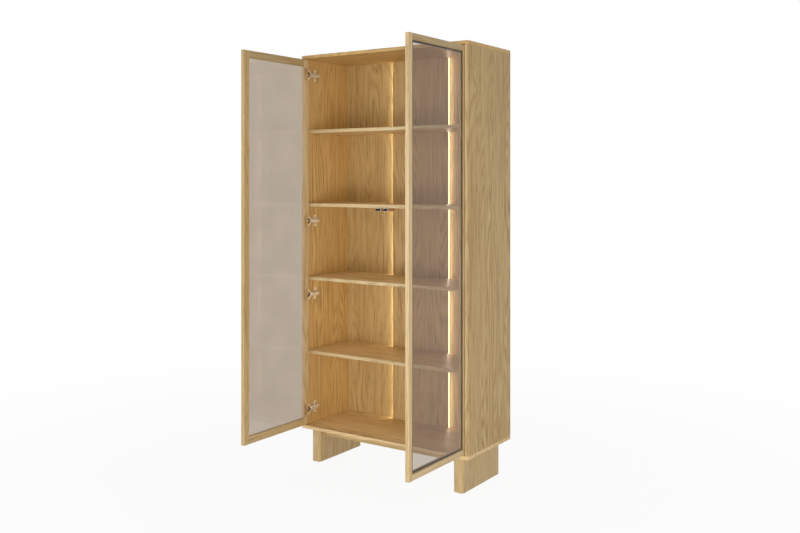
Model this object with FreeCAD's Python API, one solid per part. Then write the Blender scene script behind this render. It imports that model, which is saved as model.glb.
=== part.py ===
import FreeCAD, Part
import math
import os

# Display bookcase with two framed glass doors, five compartments and light strips.
# Millimetres. X runs across the front, Y into the depth, Z up. The origin lies on
# the floor under the middle of the whole, with both doors standing open at 90 degrees.

# ---- cabinet ----
cabinet_width = 950.0
cabinet_depth = 400.0
cabinet_height = 2000.0
panel_thickness = 16.0
front_corner_radius = 14.0
panel_edge_radius = 1.0
compartment_count = 5

# ---- back ----
back_inset = 32.0
back_thickness = 8.0
back_groove_depth = 6.0
back_groove_clearance = 0.2
centre_board_width = 324.0
centre_board_thickness = 12.0
centre_screw_length = 16.0
centre_screw_diameter = 3.5
centre_screw_head_diameter = 7.0
centre_screw_head_height = 1.75
centre_screw_rows = 4
centre_screw_side_inset = 50.0
centre_screw_end_inset = 225.0

# ---- shelves ----
shelf_thickness = 16.0
shelf_setback = 36.0
shelf_clearance = 1.0
shelf_notch_clearance = 4.0
shelf_edge_radius = 1.0
pin_diameter = 5.0
pin_depth = 9.0
pin_reach = 9.0
pin_pad_width = 8.0
pin_front_inset = 60.0
pin_back_inset = 80.0

# ---- feet and rails ----
foot_height = 165.0
foot_thickness = 50.0
foot_side_inset = 45.0
foot_front_inset = 32.0
foot_back_inset = 32.0
foot_front_radius = 12.0
foot_back_radius = 3.0
glide_diameter = 30.0
glide_thickness = 4.0
glide_recess = 2.0
glide_inset = 40.0
glide_clearance = 0.2
glide_edge_radius = 1.0
rail_height = 40.0
rail_thickness = 16.0
rail_setback = 75.0

# ---- dowels ----
dowel_diameter = 8.0
dowel_in_end = 20.0
dowel_in_face = 11.0
dowel_end_play = 1.0
carcass_dowel_count = 4
carcass_dowel_inset = 45.0
foot_dowel_count = 3
foot_dowel_inset = 75.0
rail_dowel_spread = 20.0
frame_dowel_diameter = 6.0
frame_dowel_length = 30.0
frame_dowel_spread = 16.0

# ---- light strips ----
light_depth = 9.0
light_width = 8.0
light_wall = 1.0
light_end_play = 1.0
diffuser_cap = 1.0
diffuser_tongue = 1.5
tape_thickness = 1.2
driver_length = 160.0
driver_height = 42.0
driver_depth = 20.0
driver_top_gap = 60.0
driver_edge_radius = 1.0
driver_ear_length = 12.0
driver_ear_height = 16.0
driver_ear_thickness = 3.0
driver_screw_diameter = 3.5
driver_screw_length = 9.0
driver_screw_head_diameter = 7.0
driver_screw_head_height = 1.75
inlet_diameter = 5.6
inlet_depth = 10.0
lead_diameter = 2.4
lead_clearance = 0.2
lead_insertion = 3.0
lead_end_gap = 2.4
lead_hole_diameter = 5.0
lead_bend_radius = 9.5

# ---- doors ----
door_thickness = 18.0
door_side_gap = 3.0
door_middle_gap = 3.0
door_end_gap = 5.0
frame_outer_width = 25.0
frame_inner_width = 34.0
glass_thickness = 4.0
glass_recess = 1.5
seal_width = 3.5
seal_backing = 0.5
door_edge_radius = 2.0
door_open_angle = 90.0

# ---- hinges ----
pivot_from_edge = 7.5
pivot_from_face = 7.5
hinge_end_offset = 75.0
hinge_below_shelf = 71.0
pin_shaft_diameter = 4.0
pin_running_gap = 0.1
eye_radius = 4.5
tongue_height = 10.0
tongue_width = 5.0
ear_thickness = 1.5
ear_gap = 0.3
notch_gap = 0.5
notch_side_gap = 1.2
flange_thickness = 1.2
flange_height = 60.0
flange_width = 22.0
flange_overlap = 2.0
flange_corner_radius = 5.0
cup_screw_spread = 24.0
cup_screw_inset = 15.0
cup_screw_head = 7.0
cup_screw_head_height = 1.6
cup_screw_shank = 3.0
cup_screw_length = 9.0
arm_front_gap = 0.2
arm_narrow_start = 46.0
arm_end = 108.0
arm_half_height = 7.0
arm_fork_half_height = 20.0
arm_leg_width = 6.0
arm_web = 1.6
arm_standoff = 10.0
plate_thickness = 3.5
plate_start = 66.0
plate_end = 112.0
plate_half_height = 8.0
wing_centre = 88.0
wing_width = 13.0
wing_half_height = 29.0
wing_screw_spread = 16.0
wing_screw_head = 8.0
wing_screw_head_height = 2.0
wing_screw_shank = 4.0
wing_screw_length = 14.0
arm_screw_head = 6.0
arm_screw_head_height = 1.5
arm_screw_shank = 3.0
arm_screw_inset = 9.0
arm_screw_bite = 1.75

# ---- push latches ----
latch_offset = 20.0
latch_width = 24.0
latch_height = 15.0
latch_length = 60.0
latch_front_gap = 6.0
latch_corner_radius = 3.0
plunger_width = 19.0
plunger_height = 9.0
plunger_corner_radius = 4.0
plunger_length = 40.0
plunger_play = 0.3
plunger_rest_gap = 0.3
plunger_stroke = 8.0
plunger_over_travel = 3.0
latch_screw_end_inset = 6.0
latch_screw_diameter = 3.0
latch_screw_length = 8.0
latch_screw_head = 6.0
latch_screw_head_height = 2.0

# ---- how far a cutting tool runs past a face, and when two places are the same ----
cut_margin = 1.0
same_place = 0.001

# ---- places that follow from the sizes ----
half_width = cabinet_width / 2
inner_half = half_width - panel_thickness
floor_top = foot_height + panel_thickness
ceiling = cabinet_height - panel_thickness
clear_height = ceiling - floor_top
back_face = cabinet_depth - back_inset - back_thickness
back_rear = back_face + back_thickness
centre_face = back_face - centre_board_thickness

shelf_count = compartment_count - 1
compartment_height = (clear_height - shelf_count * shelf_thickness) / compartment_count
shelf_step = compartment_height + shelf_thickness
shelf_floors = [floor_top + compartment_height + shelf_step * n for n in range(shelf_count)]
latch_shelf = shelf_count // 2
latch_top = shelf_floors[latch_shelf]

hinge_edge = inner_half - door_side_gap
free_edge = door_middle_gap / 2
door_width = hinge_edge - free_edge
door_bottom = floor_top + door_end_gap
door_top = ceiling - door_end_gap
pivot_x = hinge_edge - pivot_from_edge
pivot_y = pivot_from_face
door_reach = door_width - pivot_from_edge - pivot_from_face
front_shift = (door_reach - cabinet_depth) / 2
glass_back = glass_recess + glass_thickness
lip_front = glass_back + seal_backing

hinge_heights = [
    floor_top + hinge_end_offset,
    shelf_floors[latch_shelf - 1] - hinge_below_shelf,
    shelf_floors[latch_shelf] - hinge_below_shelf,
    ceiling - hinge_end_offset,
]
plate_face = inner_half - plate_thickness
arm_face = plate_face - arm_standoff
arm_front = door_thickness + flange_thickness + cup_screw_head_height + arm_front_gap
ear_outer = tongue_height / 2 + ear_gap + ear_thickness
notch_half_height = ear_outer + notch_side_gap
notch_wall = pivot_x - eye_radius - notch_gap
flange_start = notch_wall + flange_overlap

foot_outer = half_width - foot_side_inset
foot_inner = foot_outer - foot_thickness
foot_middle = (foot_outer + foot_inner) / 2
foot_bottom = glide_thickness - glide_recess
foot_back = cabinet_depth - foot_back_inset
rail_fronts = [rail_setback, cabinet_depth - rail_setback - rail_thickness]

light_outer = centre_board_width / 2
light_mouth = light_outer - diffuser_cap
light_inner = light_outer - light_width
light_front = back_face - light_depth
light_low = floor_top + light_end_play
light_high = ceiling - light_end_play
lead_x = light_mouth - diffuser_tongue - lead_diameter / 2 - lead_clearance
driver_floor = ceiling - driver_top_gap - driver_height
driver_middle = back_rear + driver_depth / 2
lead_height = driver_floor + driver_height / 2

latch_front = door_thickness + latch_front_gap
latch_end = latch_front + latch_length
latch_middle = latch_top - latch_height / 2
plunger_head_shut = door_thickness + plunger_rest_gap

X_AXIS = FreeCAD.Vector(1, 0, 0)
Y_AXIS = FreeCAD.Vector(0, 1, 0)
Z_AXIS = FreeCAD.Vector(0, 0, 1)
SIDES = {"left": -1, "right": 1}


# ---- helpers ----
def block(x0, x1, y0, y1, z0, z1):
    """A box between two corners."""
    corner = FreeCAD.Vector(min(x0, x1), min(y0, y1), min(z0, z1))
    return Part.makeBox(abs(x1 - x0), abs(y1 - y0), abs(z1 - z0), corner)


def rod(x, y, z, diameter, length, axis):
    """A round bar that starts at a point and runs along an axis."""
    return Part.makeCylinder(diameter / 2, length, FreeCAD.Vector(x, y, z), axis)


def prism(points, direction):
    """A flat outline of points, pushed along a direction."""
    corners = [FreeCAD.Vector(*point) for point in points]
    outline = Part.makePolygon(corners + corners[:1])
    return Part.Face(outline).extrude(direction)


def fuse_all(shapes):
    joined = shapes[0]
    for shape in shapes[1:]:
        joined = joined.fuse(shape)
    return joined.removeSplitter()


def cut_all(shape, tools):
    return shape.cut(Part.makeCompound(tools))


def round_edges(shape, radius, chosen):
    """Rounds the edges that the function chosen accepts by their end points."""
    edges = []
    for edge in shape.Edges:
        ends = [vertex.Point for vertex in edge.Vertexes]
        if len(ends) == 2 and chosen(ends[0], ends[1]):
            edges.append(edge)
    return shape.makeFillet(radius, edges)


def near(value, target):
    return abs(value - target) < same_place


def upright_at(x, y):
    """Chooses the vertical edge that stands at x, y."""
    def chosen(a, b):
        here = near(a.x, x) and near(b.x, x) and near(a.y, y) and near(b.y, y)
        return here and not near(a.z, b.z)
    return chosen


def along_y(a, b):
    """Chooses the edges that run straight into the depth."""
    return near(a.x, b.x) and near(a.z, b.z) and not near(a.y, b.y)


def mirrored(shape, side):
    """Pieces are built on the right and mirrored across the middle for the left."""
    if side > 0:
        return shape
    return shape.mirror(FreeCAD.Vector(0, 0, 0), X_AXIS)


def spaced(start, end, count):
    """Places from start to end, both included, at even steps."""
    if count == 1:
        return [(start + end) / 2]
    step = (end - start) / (count - 1)
    return [start + step * number for number in range(count)]


def screw(head, shank):
    return fuse_all([shank, head])


def export(name, shape):
    """Writes one sub-part, shifted so that the origin is under the middle."""
    placed = shape.copy()
    placed.translate(FreeCAD.Vector(0, front_shift, 0))
    placed.exportStep("parts/" + name + ".step")


def export_group(name, solids):
    export(name, Part.makeCompound(solids))


# ---- dowels of the carcass, feet and rails ----
def carcass_dowel(x, y, joint, inward, play):
    """One dowel across the joint between an end panel and a side panel."""
    start = joint - inward * (dowel_in_face + play)
    length = dowel_in_face + dowel_in_end + 2 * play
    return rod(x, y, start, dowel_diameter, length, Z_AXIS * inward)


def carcass_dowels(play=0.0):
    dowels = []
    side_middle = half_width - panel_thickness / 2
    last = cabinet_depth - carcass_dowel_inset
    for side in SIDES.values():
        for y in spaced(carcass_dowel_inset, last, carcass_dowel_count):
            dowels.append(carcass_dowel(side * side_middle, y, floor_top, 1, play))
            dowels.append(carcass_dowel(side * side_middle, y, ceiling, -1, play))
    return dowels


def foot_dowels(play=0.0):
    dowels = []
    first = foot_front_inset + foot_dowel_inset
    last = foot_back - foot_dowel_inset
    start = foot_height - dowel_in_end - play
    length = dowel_in_end + dowel_in_face + 2 * play
    for side in SIDES.values():
        for y in spaced(first, last, foot_dowel_count):
            dowels.append(rod(side * foot_middle, y, start, dowel_diameter, length, Z_AXIS))
    return dowels


def rail_dowels(play=0.0):
    dowels = []
    middle = foot_height - rail_height / 2
    start = foot_inner - dowel_in_end - play
    length = 2 * (dowel_in_end + play)
    for front in rail_fronts:
        y = front + rail_thickness / 2
        for side in SIDES.values():
            for z in (middle - rail_dowel_spread / 2, middle + rail_dowel_spread / 2):
                dowel = rod(start, y, z, dowel_diameter, length, X_AXIS)
                dowels.append(mirrored(dowel, side))
    return dowels


# ---- carcass ----
def back_slot():
    """The groove that holds the back panel, as one block."""
    reach = inner_half + back_groove_depth
    low = floor_top - back_groove_depth
    high = ceiling + back_groove_depth
    return block(-reach, reach, back_face, back_rear + back_groove_clearance, low, high)


def end_panel(z0, z1):
    """The top or the bottom panel, with rounded front corners."""
    panel = block(-half_width, half_width, 0, cabinet_depth, z0, z1)
    for side in SIDES.values():
        panel = round_edges(panel, front_corner_radius, upright_at(side * half_width, 0))

    def front_and_side_rim(a, b):
        level = near(a.z, b.z) and (near(a.z, z0) or near(a.z, z1))
        rear_edge = near(a.y, cabinet_depth) and near(b.y, cabinet_depth)
        return level and not rear_edge

    return round_edges(panel, panel_edge_radius, front_and_side_rim)


def top_panel():
    tools = [back_slot()] + carcass_dowels(dowel_end_play)
    return cut_all(end_panel(ceiling, cabinet_height), tools)


def bottom_panel():
    tools = [back_slot()] + carcass_dowels(dowel_end_play) + foot_dowels(dowel_end_play)
    return cut_all(end_panel(foot_height, floor_top), tools)


def side_panel(side):
    panel = block(inner_half, half_width, 0, cabinet_depth, floor_top, ceiling)
    panel = round_edges(panel, front_corner_radius, upright_at(half_width, 0))
    panel = round_edges(panel, panel_edge_radius, upright_at(inner_half, 0))
    tools = [back_slot()] + carcass_dowels(dowel_end_play) + shelf_pin_rods(dowel_end_play)
    tools += [mirrored(shank, side) for shank in wing_screw_shanks()]
    return cut_all(mirrored(panel, side), tools)


def back_panel():
    reach = inner_half + back_groove_depth - back_groove_clearance
    low = floor_top - back_groove_depth + back_groove_clearance
    high = ceiling + back_groove_depth - back_groove_clearance
    panel = block(-reach, reach, back_face, back_rear, low, high)
    tools = centre_screws() + driver_screws()
    tools += [lead_hole(back_face, back_rear, side) for side in SIDES.values()]
    return cut_all(panel, tools)


def centre_board():
    """The raised middle board; its rear edges are rebated for the light strips."""
    board = block(-light_outer, light_outer, centre_face, back_face, floor_top, ceiling)
    rebate = block(
        light_inner, light_outer + cut_margin,
        light_front, back_face + cut_margin,
        floor_top, ceiling,
    )
    rebates = [mirrored(rebate, side) for side in SIDES.values()]
    return cut_all(board, rebates + centre_screws())


def centre_screws():
    """Countersunk screws through the back panel into the raised board."""
    screws = []
    shank_radius = centre_screw_diameter / 2
    head_radius = centre_screw_head_diameter / 2
    reach = light_outer - centre_screw_side_inset
    first = floor_top + centre_screw_end_inset
    last = ceiling - centre_screw_end_inset
    for z in spaced(first, last, centre_screw_rows):
        for x in (-reach, reach):
            seat = FreeCAD.Vector(x, back_rear, z)
            head = Part.makeCone(head_radius, shank_radius, centre_screw_head_height, seat, -Y_AXIS)
            shank = rod(x, back_rear, z, centre_screw_diameter, centre_screw_length, -Y_AXIS)
            screws.append(screw(head, shank))
    return screws


# ---- shelves ----
def shelf_pin_rods(play=0.0):
    rods = []
    for shelf_floor in shelf_floors:
        z = shelf_floor - pin_diameter / 2
        for y in (shelf_setback + pin_front_inset, back_face - pin_back_inset):
            for side in SIDES.values():
                peg = rod(inner_half, y, z, pin_diameter, pin_depth + play, X_AXIS)
                rods.append(mirrored(peg, side))
    return rods


def shelf_pins():
    """Pegs in the side panels, each with a flat pad that carries the shelf."""
    pins = []
    for peg in shelf_pin_rods():
        centre = peg.CenterOfMass
        side = math.copysign(1, centre.x)
        pad = block(
            side * (inner_half - pin_reach), side * inner_half,
            centre.y - pin_pad_width / 2, centre.y + pin_pad_width / 2,
            centre.z - pin_diameter / 2, centre.z + pin_diameter / 2,
        )
        pins.append(fuse_all([peg, pad]))
    return pins


def shelf(number):
    """A shelf with its rear notched around the raised centre board."""
    low = shelf_floors[number]
    high = low + shelf_thickness
    reach = inner_half - shelf_clearance
    rear = back_face - shelf_clearance
    board = block(-reach, reach, shelf_setback, rear, low, high)
    notch_reach = light_outer + shelf_notch_clearance
    notch_front = centre_face - shelf_clearance
    board = board.cut(block(-notch_reach, notch_reach, notch_front, rear + cut_margin, low, high))

    def front_rim(a, b):
        return near(a.y, shelf_setback) and near(b.y, shelf_setback) and near(a.z, b.z)

    board = round_edges(board, shelf_edge_radius, front_rim)
    if number == latch_shelf:
        board = cut_all(board, latch_screws())
    return board


# ---- feet, glides and rails ----
def glide_places():
    places = []
    for side in SIDES.values():
        for y in (foot_front_inset + glide_inset, foot_back - glide_inset):
            places.append((side * foot_middle, y))
    return places


def glides():
    pads = []
    for x, y in glide_places():
        pad = rod(x, y, 0, glide_diameter, glide_thickness, Z_AXIS)
        rim = [edge for edge in pad.Edges if near(edge.BoundBox.ZMax, 0)]
        pads.append(pad.makeFillet(glide_edge_radius, rim))
    return pads


def foot(side):
    leg = block(foot_inner, foot_outer, foot_front_inset, foot_back, foot_bottom, foot_height)
    for x in (foot_inner, foot_outer):
        leg = round_edges(leg, foot_front_radius, upright_at(x, foot_front_inset))
        leg = round_edges(leg, foot_back_radius, upright_at(x, foot_back))
    tools = foot_dowels(dowel_end_play) + rail_dowels(dowel_end_play)
    for x, y in glide_places():
        tools.append(rod(x, y, 0, glide_diameter + 2 * glide_clearance, glide_thickness, Z_AXIS))
    return cut_all(mirrored(leg, side), tools)


def foot_rail(front):
    low = foot_height - rail_height
    rail = block(-foot_inner, foot_inner, front, front + rail_thickness, low, foot_height)
    return cut_all(rail, rail_dowels(dowel_end_play))


# ---- light strips ----
def lead_hole(y0, y1, side):
    """A hole for a lead, through the wall from y0 to y1."""
    length = y1 - y0 + 2 * cut_margin
    hole = rod(lead_x, y0 - cut_margin, lead_height, lead_hole_diameter, length, Y_AXIS)
    return mirrored(hole, side)


def light_channel(side):
    """Aluminium channel in the rebate, open towards the outside."""
    outer = block(light_inner, light_mouth, light_front, back_face, light_low, light_high)
    inside = block(
        light_inner + light_wall, light_mouth + cut_margin,
        light_front + light_wall, back_face - light_wall,
        light_low - cut_margin, light_high + cut_margin,
    )
    channel = mirrored(outer.cut(inside), side)
    return channel.cut(lead_hole(back_face - light_wall, back_face, side))


def light_tape(side):
    """The strip of light diodes on the floor of the channel."""
    start = light_inner + light_wall
    tape = block(
        start, start + tape_thickness,
        light_front + light_wall, back_face - light_wall,
        light_low, light_high,
    )
    return mirrored(tape, side)


def light_diffuser(side):
    """The milky cover that is pressed into the channel."""
    cap = block(light_mouth, light_outer, light_front, back_face, light_low, light_high)
    tongue = block(
        light_mouth - diffuser_tongue, light_mouth,
        light_front + light_wall, back_face - light_wall,
        light_low, light_high,
    )
    return mirrored(fuse_all([cap, tongue]), side)


def driver_screws():
    screws = []
    seat = back_rear + driver_ear_thickness
    z = driver_floor + driver_ear_height / 2
    for side in SIDES.values():
        x = side * (driver_length + driver_ear_length) / 2
        shank = rod(x, seat, z, driver_screw_diameter, driver_screw_length, -Y_AXIS)
        head = rod(x, seat, z, driver_screw_head_diameter, driver_screw_head_height, Y_AXIS)
        screws.append(screw(head, shank))
    return screws


def light_driver():
    """The light box on the rear of the back panel, with a round low-voltage inlet."""
    half_length = driver_length / 2
    rear = back_rear + driver_depth
    high = driver_floor + driver_height
    case = block(-half_length, half_length, back_rear, rear, driver_floor, high)

    def rear_rim(a, b):
        return near(a.y, rear) and near(b.y, rear)

    case = round_edges(case, driver_edge_radius, rear_rim)
    ear_reach = half_length + driver_ear_length
    ears = block(
        -ear_reach, ear_reach, back_rear, back_rear + driver_ear_thickness,
        driver_floor, driver_floor + driver_ear_height,
    )
    inlet = rod(0, rear, lead_height, inlet_diameter, inlet_depth, -Y_AXIS)
    return cut_all(fuse_all([case, ears]), [inlet] + driver_screws() + leads())


def lead():
    """A round lead: out of the driver's end, one bend, and through the back panel."""
    turn = lead_bend_radius
    sag = turn * (1 - math.cos(math.pi / 4))
    start_x = driver_length / 2 - lead_insertion
    end_y = light_front + light_wall + lead_end_gap
    start = FreeCAD.Vector(start_x, driver_middle, lead_height)
    before = FreeCAD.Vector(lead_x - turn, driver_middle, lead_height)
    middle = FreeCAD.Vector(lead_x - sag, driver_middle - sag, lead_height)
    after = FreeCAD.Vector(lead_x, driver_middle - turn, lead_height)
    end = FreeCAD.Vector(lead_x, end_y, lead_height)
    line_out = Part.LineSegment(start, before).toShape()
    bend = Part.Arc(before, middle, after).toShape()
    line_in = Part.LineSegment(after, end).toShape()
    path = Part.Wire([line_out, bend, line_in])
    ring = Part.makeCircle(lead_diameter / 2, start, X_AXIS)
    return path.makePipeShell([Part.Wire([ring])], True, False)


def leads():
    return [mirrored(lead(), side) for side in SIDES.values()]


# ---- doors, built shut on the right ----
def door_pose(shape, side):
    """Swings a door piece from shut to its open rest pose and puts it on its side."""
    opened = shape.copy()
    opened.rotate(FreeCAD.Vector(pivot_x, pivot_y, 0), Z_AXIS, door_open_angle)
    return mirrored(opened, side)


def frame_dowels(play=0.0):
    dowels = []
    y = (lip_front + door_thickness) / 2
    length = frame_dowel_length + 2 * play
    for low in (door_bottom, door_top - frame_inner_width):
        middle = low + frame_inner_width / 2
        for z in (middle - frame_dowel_spread / 2, middle + frame_dowel_spread / 2):
            for joint in (hinge_edge - frame_inner_width, free_edge + frame_inner_width):
                dowels.append(rod(joint - length / 2, y, z, frame_dowel_diameter, length, X_AXIS))
    return dowels


def door_stile(edge, inward):
    """An upright of the door frame; inward points from its edge to the glass."""
    front = block(edge, edge + inward * frame_outer_width, 0, lip_front, door_bottom, door_top)
    lip = block(
        edge, edge + inward * frame_inner_width,
        lip_front, door_thickness, door_bottom, door_top,
    )
    stile = fuse_all([front, lip])
    for y in (0, door_thickness):
        stile = round_edges(stile, door_edge_radius, upright_at(edge, y))
    return cut_all(stile, frame_dowels(dowel_end_play))


def hinge_notch(height):
    """The pocket in the hinge stile that clears the hinge's tongue."""
    return block(
        notch_wall, hinge_edge + cut_margin,
        pivot_y - eye_radius - notch_gap, door_thickness + cut_margin,
        height - notch_half_height, height + notch_half_height,
    )


def hinge_stile():
    notches = [hinge_notch(height) for height in hinge_heights]
    return cut_all(door_stile(hinge_edge, -1), notches + cup_screws())


def free_stile():
    return door_stile(free_edge, 1)


def door_rail(edge, inward):
    """A cross rail of the door frame between the two stiles."""
    front = block(
        free_edge + frame_outer_width, hinge_edge - frame_outer_width, 0, lip_front,
        edge, edge + inward * frame_outer_width,
    )
    lip = block(
        free_edge + frame_inner_width, hinge_edge - frame_inner_width, lip_front, door_thickness,
        edge, edge + inward * frame_inner_width,
    )
    return cut_all(fuse_all([front, lip]), frame_dowels(dowel_end_play))


def door_field(inset, y0, y1):
    """A block over the door's face, inset evenly from all four edges."""
    return block(
        free_edge + inset, hinge_edge - inset, y0, y1,
        door_bottom + inset, door_top - inset,
    )


def frame_ring(inset, width, y0, y1):
    """A rectangular ring around the glass, inset from the door's edges."""
    hole = door_field(inset + width, y0 - cut_margin, y1 + cut_margin)
    return door_field(inset, y0, y1).cut(hole)


def glass_seal():
    """A soft strip around the glass edge, with a thin bed between glass and lip."""
    rim = frame_ring(frame_outer_width, seal_width, glass_recess, lip_front)
    bed_width = frame_inner_width - frame_outer_width
    bed = frame_ring(frame_outer_width, bed_width, glass_back, lip_front)
    return fuse_all([rim, bed])


def door_glass():
    return door_field(frame_outer_width + seal_width, glass_recess, glass_back)


# ---- hinges, built shut on the right ----
def cup_screws():
    screws = []
    x = flange_start - cup_screw_inset
    top = door_thickness + flange_thickness
    for height in hinge_heights:
        for z in (height - cup_screw_spread, height + cup_screw_spread):
            shank = rod(x, top, z, cup_screw_shank, cup_screw_length, -Y_AXIS)
            head = rod(x, top, z, cup_screw_head, cup_screw_head_height, Y_AXIS)
            screws.append(screw(head, shank))
    return screws


def hinge_cup(height):
    """The door half of a hinge: a flange on the stile with two ears for the pin."""
    top = door_thickness + flange_thickness
    flange = block(
        flange_start - flange_width, flange_start, door_thickness, top,
        height - flange_height / 2, height + flange_height / 2,
    )

    def inner_corner(a, b):
        return along_y(a, b) and near(a.x, flange_start - flange_width)

    pieces = [round_edges(flange, flange_corner_radius, inner_corner)]
    for z in (height + ear_outer - ear_thickness, height - ear_outer):
        web_floor = pivot_y - eye_radius + notch_gap
        pieces.append(block(notch_wall, pivot_x, web_floor, top, z, z + ear_thickness))
        pieces.append(rod(pivot_x, pivot_y, z, 2 * eye_radius, ear_thickness, Z_AXIS))
    return cut_all(fuse_all(pieces), [hinge_pin(height)] + cup_screws())


def hinge_pin(height):
    low = height - ear_outer
    return rod(pivot_x, pivot_y, low, pin_shaft_diameter, 2 * ear_outer, Z_AXIS)


def arm_leg(height, up):
    """One slanting leg of the arm's fork, above or below its middle."""
    tip = height + up * arm_fork_half_height
    root = height + up * arm_half_height
    outline = [
        (arm_face, arm_front, tip),
        (arm_face, arm_front, tip - up * arm_leg_width),
        (arm_face, arm_narrow_start, root - up * arm_leg_width),
        (arm_face, arm_narrow_start, root),
    ]
    return prism(outline, X_AXIS * arm_web)


def hinge_arm(height):
    """The cabinet half: a tongue on the pin, a fork and a channel over the plate."""
    low = height - tongue_height / 2
    high = height + tongue_height / 2
    bottom = height - arm_half_height
    top = height + arm_half_height
    near_side = pivot_x - tongue_width / 2
    far_side = pivot_x + tongue_width / 2
    web_start = arm_narrow_start - arm_web
    pieces = [
        rod(pivot_x, pivot_y, low, 2 * eye_radius, tongue_height, Z_AXIS),
        block(near_side, far_side, pivot_y, arm_narrow_start, low, high),
        block(arm_face, arm_face + arm_web, arm_narrow_start, arm_end, bottom, top),
        block(arm_face, far_side, web_start, arm_narrow_start, bottom, top),
    ]
    for up in (-1, 1):
        root = height + up * arm_half_height
        pieces.append(arm_leg(height, up))
        pieces.append(block(
            arm_face, plate_face, arm_narrow_start, arm_end, root, root - up * arm_web,
        ))
    bore = rod(
        pivot_x, pivot_y, low - cut_margin,
        pin_shaft_diameter + 2 * pin_running_gap, tongue_height + 2 * cut_margin, Z_AXIS,
    )
    return cut_all(fuse_all(pieces), [bore] + arm_screws(height))


def arm_screws(height):
    """Two adjusting screws from the arm's web down into the plate."""
    screws = []
    depth = arm_standoff + arm_screw_bite
    for y in (plate_start + arm_screw_inset, arm_end - arm_screw_inset):
        shank = rod(arm_face, y, height, arm_screw_shank, depth, X_AXIS)
        head = rod(arm_face, y, height, arm_screw_head, arm_screw_head_height, -X_AXIS)
        screws.append(screw(head, shank))
    return screws


def hinge_plate(height):
    """The cross-shaped mounting plate on the side panel."""
    base = block(
        plate_face, inner_half, plate_start, plate_end,
        height - plate_half_height, height + plate_half_height,
    )
    wings = block(
        plate_face, inner_half, wing_centre - wing_width / 2, wing_centre + wing_width / 2,
        height - wing_half_height, height + wing_half_height,
    )

    def wing_corner(a, b):
        return near(a.y, b.y) and near(a.z, b.z) and not near(a.x, b.x)

    wings = round_edges(wings, flange_corner_radius, wing_corner)
    return cut_all(fuse_all([base, wings]), arm_screws(height) + wing_screw_shanks())


def wing_places():
    places = []
    for height in hinge_heights:
        places += [height - wing_screw_spread, height + wing_screw_spread]
    return places


def wing_screw_shanks():
    shanks = []
    for z in wing_places():
        shank = rod(plate_face, wing_centre, z, wing_screw_shank, wing_screw_length, X_AXIS)
        shanks.append(shank)
    return shanks


def wing_screws():
    """Screws through the plates' wings into the side panel."""
    screws = []
    for z, shank in zip(wing_places(), wing_screw_shanks()):
        head = rod(plate_face, wing_centre, z, wing_screw_head, wing_screw_head_height, -X_AXIS)
        screws.append(screw(head, shank))
    return screws


# ---- push latches ----
def rounded_bar(width, height, y0, y1, x, radius):
    """A bar along Y with rounded long edges, at the height of the latches."""
    bar = block(
        x - width / 2, x + width / 2, y0, y1,
        latch_middle - height / 2, latch_middle + height / 2,
    )
    return round_edges(bar, radius, along_y)


def latch_housing(side):
    """A moulded housing under a shelf, with a bore for its plunger."""
    x = side * latch_offset
    half = latch_width / 2
    bar = rounded_bar(
        latch_width, latch_height, latch_front, latch_end, x, latch_corner_radius,
    )
    seat = block(x - half, x + half, shelf_setback, latch_end, latch_middle, latch_top)
    bore_end = plunger_head_shut + plunger_length + plunger_over_travel
    bore = rounded_bar(
        plunger_width + 2 * plunger_play, plunger_height + 2 * plunger_play,
        latch_front - cut_margin, bore_end, x, plunger_corner_radius + plunger_play,
    )
    return cut_all(fuse_all([bar, seat]), [bore] + latch_screws())


def latch_plunger(side):
    head = plunger_head_shut - plunger_stroke
    return rounded_bar(
        plunger_width, plunger_height, head, head + plunger_length,
        side * latch_offset, plunger_corner_radius,
    )


def latch_screws():
    """One screw up through each housing into the shelf, behind the bore."""
    screws = []
    y = latch_end - latch_screw_end_inset
    length = latch_height / 2 + latch_screw_length
    for side in SIDES.values():
        x = side * latch_offset
        head = rod(x, y, latch_middle, latch_screw_head, latch_screw_head_height, Z_AXIS)
        shank = rod(x, y, latch_middle, latch_screw_diameter, length, Z_AXIS)
        screws.append(screw(head, shank))
    return screws


# ---- export ----
def export_cabinet():
    export("top_panel", top_panel())
    export("bottom_panel", bottom_panel())
    export("back_panel", back_panel())
    export("centre_back_board", centre_board())
    export_group("centre_board_screws", centre_screws())
    export_group("carcass_dowels", carcass_dowels())
    export_group("foot_dowels", foot_dowels())
    export_group("rail_dowels", rail_dowels())
    export_group("shelf_pins", shelf_pins())
    export_group("floor_glides", glides())
    for number in range(shelf_count):
        export("shelf_" + str(number + 1), shelf(number))
    for name, front in zip(("front_foot_rail", "rear_foot_rail"), rail_fronts):
        export(name, foot_rail(front))


def export_fittings():
    export("light_driver", light_driver())
    export_group("light_driver_screws", driver_screws())
    export_group("light_leads", leads())
    export_group("latch_screws", latch_screws())
    export_group("latch_housings", [latch_housing(side) for side in SIDES.values()])
    plate_screws = []
    adjusters = []
    for side in SIDES.values():
        plate_screws += [mirrored(piece, side) for piece in wing_screws()]
        for height in hinge_heights:
            adjusters += [mirrored(piece, side) for piece in arm_screws(height)]
    export_group("hinge_plate_screws", plate_screws)
    export_group("hinge_arm_screws", adjusters)


def export_side(word, side):
    export(word + "_side_panel", side_panel(side))
    export(word + "_foot", foot(side))
    export(word + "_light_channel", light_channel(side))
    export(word + "_light_tape", light_tape(side))
    export(word + "_light_diffuser", light_diffuser(side))
    export(word + "_latch_plunger", latch_plunger(side))
    arms = [mirrored(hinge_arm(height), side) for height in hinge_heights]
    plates = [mirrored(hinge_plate(height), side) for height in hinge_heights]
    export_group(word + "_hinge_arms", arms)
    export_group(word + "_hinge_plates", plates)


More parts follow.
